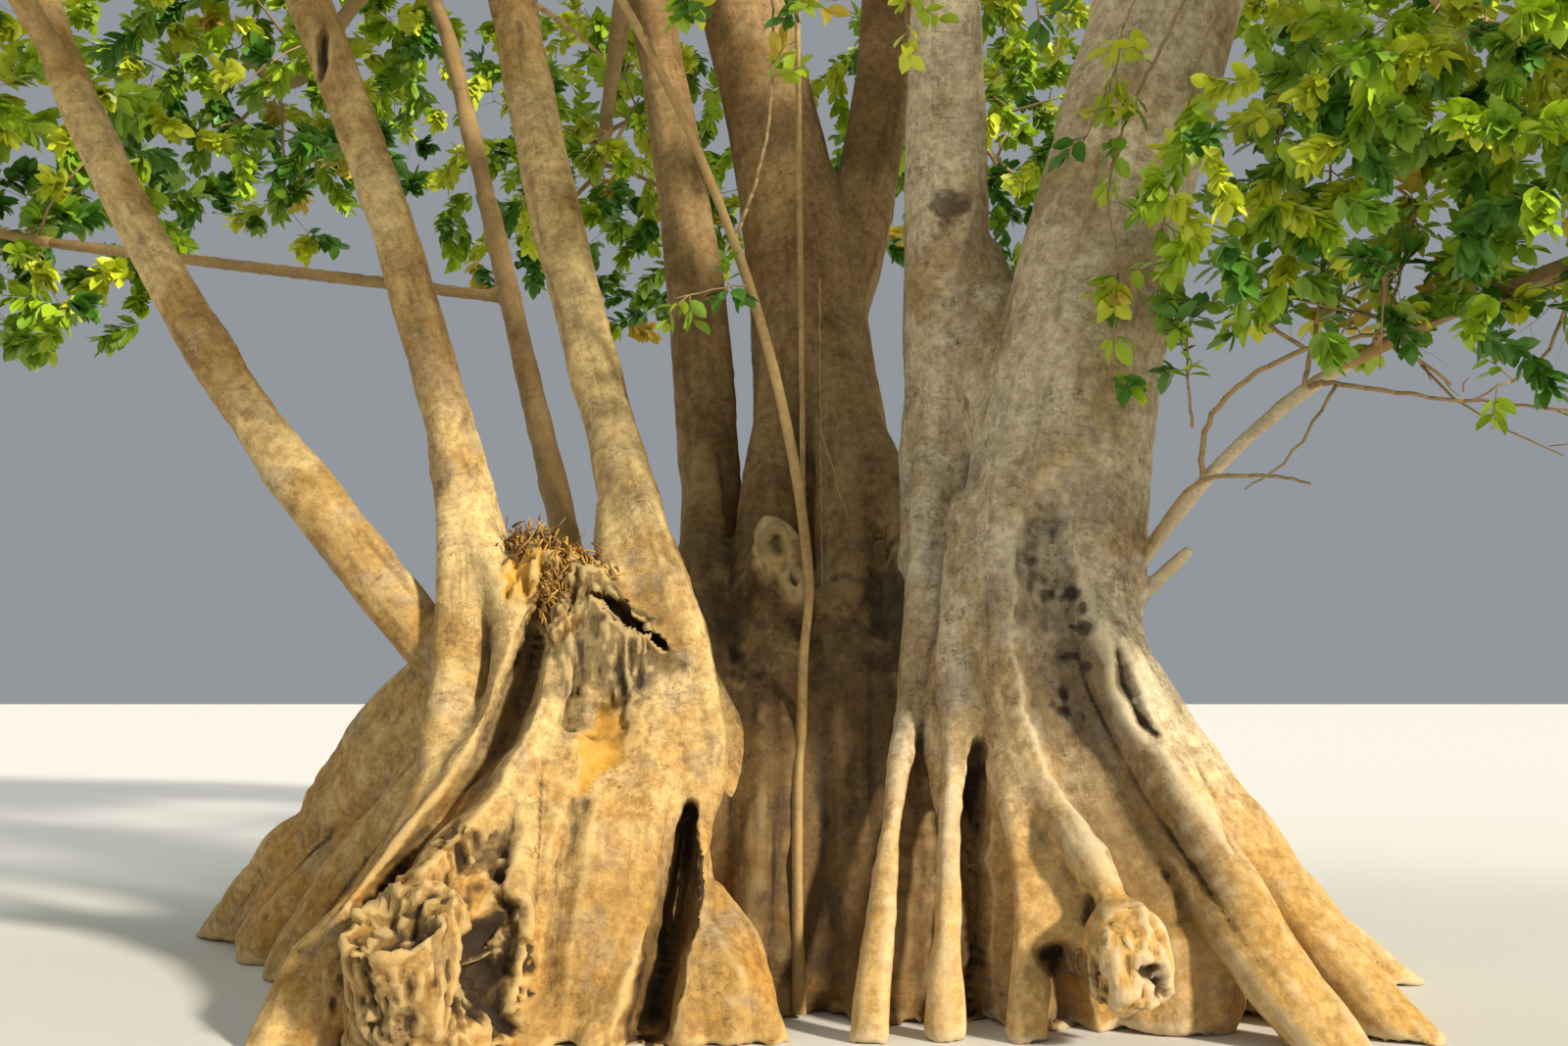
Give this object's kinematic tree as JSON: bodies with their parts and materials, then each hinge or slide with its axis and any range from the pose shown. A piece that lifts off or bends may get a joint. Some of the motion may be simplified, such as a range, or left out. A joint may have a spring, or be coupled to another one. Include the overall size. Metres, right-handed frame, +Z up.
{
  "type": "banyan tree",
  "caption": "Wide old banyan tree rooted in the ground: stems fused above flaring buttress roots, leaning boughs, and a broad crown of leafy masses.",
  "frame": {"origin": "on the ground, at the middle of the flat cut under the fused trunk", "axes": "+Z up the trunk, -Y towards the side that the picture shows, +X to that view's right"},
  "size_m": [16.6647, 15.2871, 13.7347],
  "materials": {
    "trunk_bark": "matt, pale tan-grey bark with dark stains in the flutes",
    "bough_bark": "matt, tan-grey bark",
    "foliage": "satin leaves, bright yellow-green to deep green"
  },
  "bodies": {
    "root": {"trunk": "trunk_bark", "far_left_stem": "trunk_bark", "left_stem": "trunk_bark", "small_stem": "trunk_bark", "mid_left_stem": "trunk_bark", "back_left_stem": "trunk_bark", "centre_stem": "trunk_bark", "centre_right_stem": "trunk_bark", "right_stem": "trunk_bark", "centre_fork_stem": "trunk_bark", "left_bough": "bough_bark", "front_left_bough": "bough_bark", "left_upper_bough": "bough_bark", "front_left_upper_bough": "bough_bark", "left_low_bough": "bough_bark", "back_left_bough": "bough_bark", "top_left_bough": "bough_bark", "back_left_upper_bough": "bough_bark", "back_left_low_bough": "bough_bark", "top_bough": "bough_bark", "back_upper_bough": "bough_bark", "back_bough": "bough_bark", "back_right_upper_bough": "bough_bark", "front_upper_bough": "bough_bark", "front_bough": "bough_bark", "right_upper_bough": "bough_bark", "right_bough": "bough_bark", "front_right_bough": "bough_bark", "front_right_low_bough": "bough_bark", "back_right_bough": "bough_bark", "right_low_bough": "bough_bark", "slanting_aerial_root": "bough_bark", "hanging_aerial_root": "bough_bark", "left_leaves": "foliage", "front_left_leaves": "foliage", "left_upper_leaves": "foliage", "front_left_upper_leaves": "foliage", "left_low_leaves": "foliage", "back_left_leaves": "foliage", "top_left_leaves": "foliage", "back_left_upper_leaves": "foliage", "back_left_low_leaves": "foliage", "top_leaves": "foliage", "back_upper_leaves": "foliage", "back_leaves": "foliage", "back_right_upper_leaves": "foliage", "front_upper_leaves": "foliage", "front_leaves": "foliage", "right_upper_leaves": "foliage", "right_leaves": "foliage", "front_right_leaves": "foliage", "front_right_low_leaves": "foliage", "back_right_leaves": "foliage", "right_low_leaves": "foliage"}
  },
  "joints": []
}
